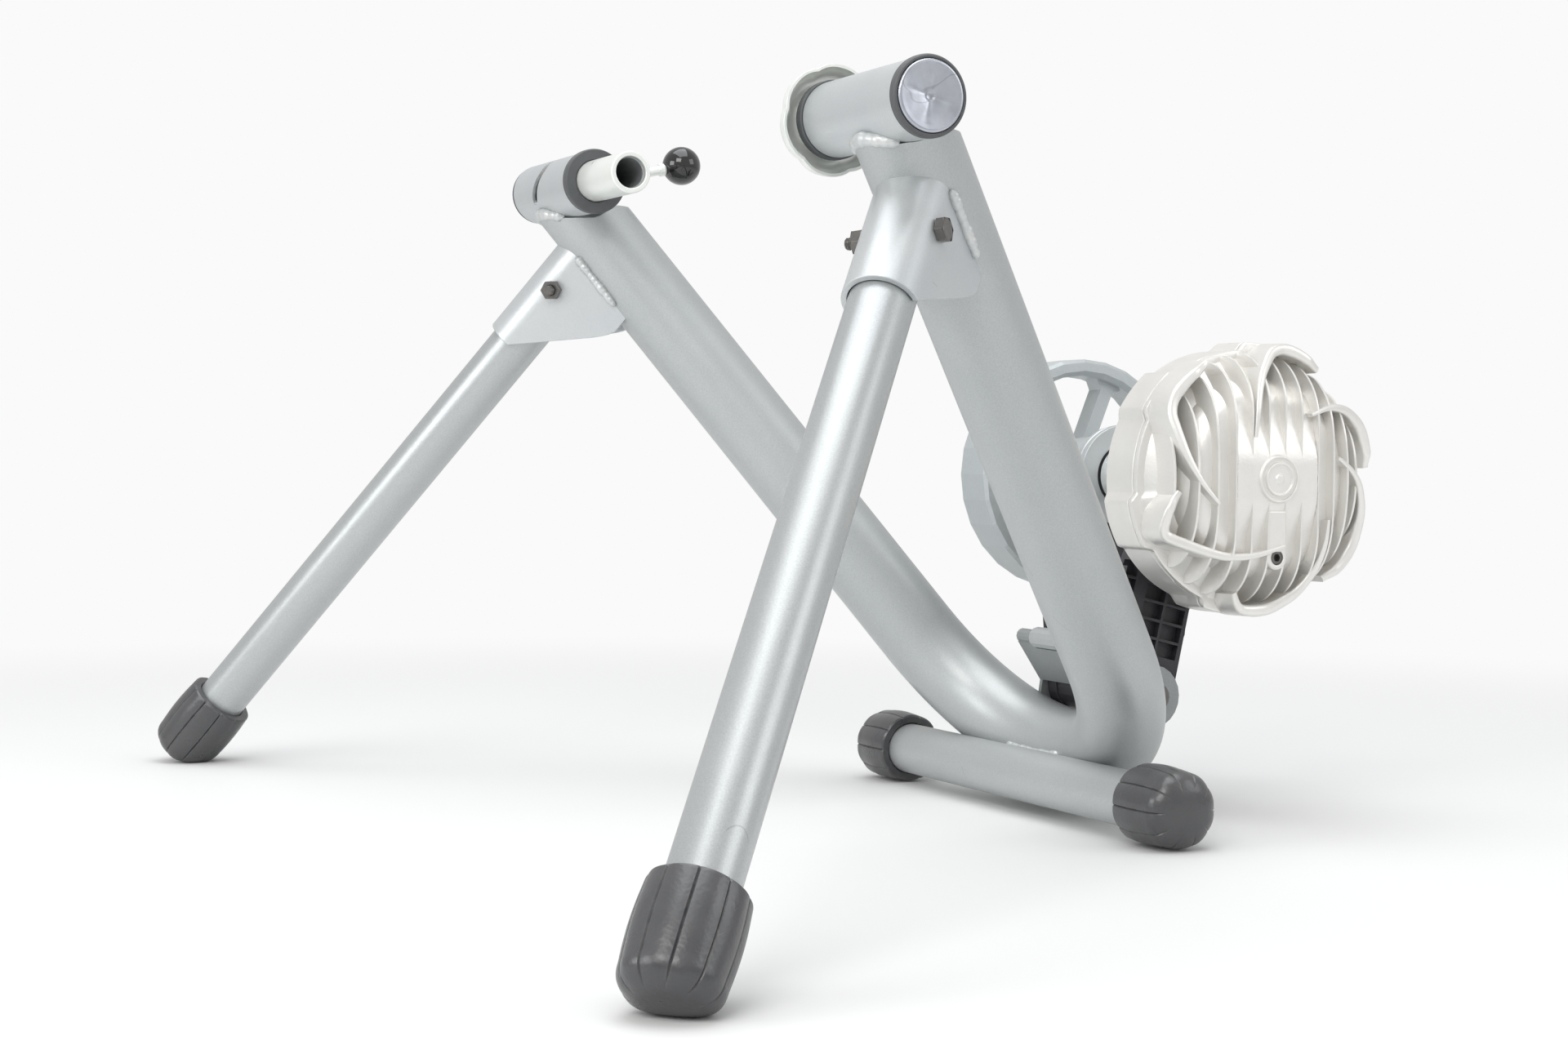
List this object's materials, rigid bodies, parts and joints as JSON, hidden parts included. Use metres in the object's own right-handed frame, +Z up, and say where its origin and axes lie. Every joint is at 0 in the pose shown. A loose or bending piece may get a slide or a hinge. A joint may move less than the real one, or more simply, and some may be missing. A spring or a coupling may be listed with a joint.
{
  "type": "bike trainer",
  "caption": "Folding indoor bike trainer: bent tube frame, hinged legs, axle clamps and a roller unit with a flywheel and a finned fluid housing.",
  "frame": {"origin": "on the floor, under the centre of the part's box; the axle line is above and ahead of it, and the arms and feet are centred on X = 0", "axes": "+X to the side with the fluid housing, parallel to the wheel's axle; +Y to the rear, away from the rider; +Z up"},
  "size_m": [0.8844, 0.6032, 0.4141],
  "materials": {
    "frame_paint": "satin grey metallic paint",
    "dark_plastic": "moulded, slightly rough",
    "plain_steel": "ground steel",
    "rubber": "moulded, matt",
    "black_steel": "black oxide",
    "zinc_steel": "bright zinc plate",
    "gloss_black": "polished",
    "brass": "plain",
    "black_plastic": "moulded, satin",
    "flywheel_iron": "grey paint on cast iron",
    "cast_aluminium": "as cast, satin silver"
  },
  "bodies": {
    "frame": {"main_frame_tube": "frame_paint", "rear_bar": "frame_paint", "left_head_tube": "frame_paint", "left_leg_bracket": "frame_paint", "left_inner_bush": "dark_plastic", "left_outer_bush": "dark_plastic", "left_end_disc": "plain_steel", "left_rear_foot": "rubber", "left_pivot_bolt": "black_steel", "left_pivot_nut": "black_steel", "left_pivot_sleeve": "plain_steel", "right_head_tube": "frame_paint", "right_leg_bracket": "frame_paint", "right_inner_bush": "dark_plastic", "right_outer_bush": "dark_plastic", "right_end_disc": "plain_steel", "right_rear_foot": "rubber", "right_pivot_bolt": "black_steel", "right_pivot_nut": "black_steel", "right_pivot_sleeve": "plain_steel", "unit_bracket": "frame_paint", "yoke_pivot_bolt": "black_steel", "yoke_pivot_nut": "zinc_steel", "yoke_pivot_cap": "black_plastic", "knuckle_pin": "black_steel"},
    "left_leg": {"left_leg_tube": "frame_paint", "left_leg_foot": "rubber"},
    "right_leg": {"right_leg_tube": "frame_paint", "right_leg_foot": "rubber"},
    "clamp_carriage": {"clamp_thrust_washer": "brass"},
    "clamp_lever": {"clamp_plunger": "zinc_steel", "clamp_lever_rod": "plain_steel", "lever_knob": "gloss_black"},
    "adjuster_cup": {"adjuster_cup": "zinc_steel"},
    "star_nut": {"star_nut": "zinc_steel"},
    "resistance_unit": {"yoke": "black_plastic", "left_bearing": "plain_steel", "right_bearing": "plain_steel", "unit_housing": "cast_aluminium", "shaft_seal": "rubber", "finned_cover": "cast_aluminium", "drain_screw": "black_steel"},
    "rotor": {"rotor_shaft": "plain_steel", "roller": "plain_steel", "flywheel": "flywheel_iron", "flywheel_nut": "zinc_steel", "impeller": "dark_plastic"},
    "tension_screw": {"tension_barrel": "zinc_steel", "tension_screw": "zinc_steel"},
    "tension_washer": {"tension_washer": "zinc_steel"},
    "tension_knob": {"tension_knob": "black_plastic"}
  },
  "joints": [
    {"name": "left_leg_fold", "type": "hinge", "parent": "frame", "child": "left_leg", "pos_m": [-0.23125, -0.08181, 0.31877], "axis": [0.7959, -0.5961, -0.1064], "range_deg": [0, 70]},
    {"name": "right_leg_fold", "type": "hinge", "parent": "frame", "child": "right_leg", "pos_m": [0.23125, -0.08181, 0.31877], "axis": [0.7959, 0.5961, 0.1064], "range_deg": [0, 70]},
    {"name": "clamp_slide", "type": "slide", "parent": "frame", "child": "clamp_carriage", "axis": [1, 0, 0], "range_m": [0, 0.0067]},
    {"name": "lever_turn", "type": "hinge", "parent": "clamp_carriage", "child": "clamp_lever", "pos_m": [-0.2239, -0.08528, 0.3815], "axis": [1, 0, 0], "range_deg": [0, 160]},
    {"name": "cup_slide", "type": "slide", "parent": "frame", "child": "adjuster_cup", "axis": [-1, 0, 0], "range_m": [0, 0.045]},
    {"name": "star_nut_turn", "type": "hinge", "parent": "frame", "child": "star_nut", "pos_m": [0.1609, -0.08528, 0.3815], "axis": [-1, 0, 0], "range_deg": [0, 4050]},
    {"name": "unit_tilt", "type": "hinge", "parent": "frame", "child": "resistance_unit", "pos_m": [0, 0.18993, 0.0705], "axis": [1, 0, 0], "range_deg": [-5, 5]},
    {"name": "rotor_spin", "type": "hinge", "parent": "resistance_unit", "child": "rotor", "pos_m": [0, 0.22178, 0.20135], "axis": [1, 0, 0], "continuous": true},
    {"name": "screw_swing", "type": "hinge", "parent": "frame", "child": "tension_screw", "pos_m": [0, 0.15583, 0.1015], "axis": [1, 0, 0], "range_deg": [-1.35, 1.35]},
    {"name": "washer_slide", "type": "slide", "parent": "tension_screw", "child": "tension_washer", "axis": [0, 0.9975, 0.0708], "range_m": [-0.00301, 0.00301]},
    {"name": "knob_turn", "type": "hinge", "parent": "tension_washer", "child": "tension_knob", "pos_m": [0, 0.15583, 0.1015], "axis": [0, 0.9975, 0.0708], "range_deg": [-351.1, 351.1]}
  ],
  "couplings": [
    {"joint": "clamp_slide", "follows": "lever_turn", "m_per_rad": 0.002399},
    {"joint": "star_nut_turn", "follows": "cup_slide", "rad_per_m": 1570.8},
    {"joint": "screw_swing", "follows": "unit_tilt", "ratio": 0.25098},
    {"joint": "washer_slide", "follows": "unit_tilt", "m_per_rad": -0.033336},
    {"joint": "knob_turn", "follows": "unit_tilt", "ratio": 69.82}
  ]
}
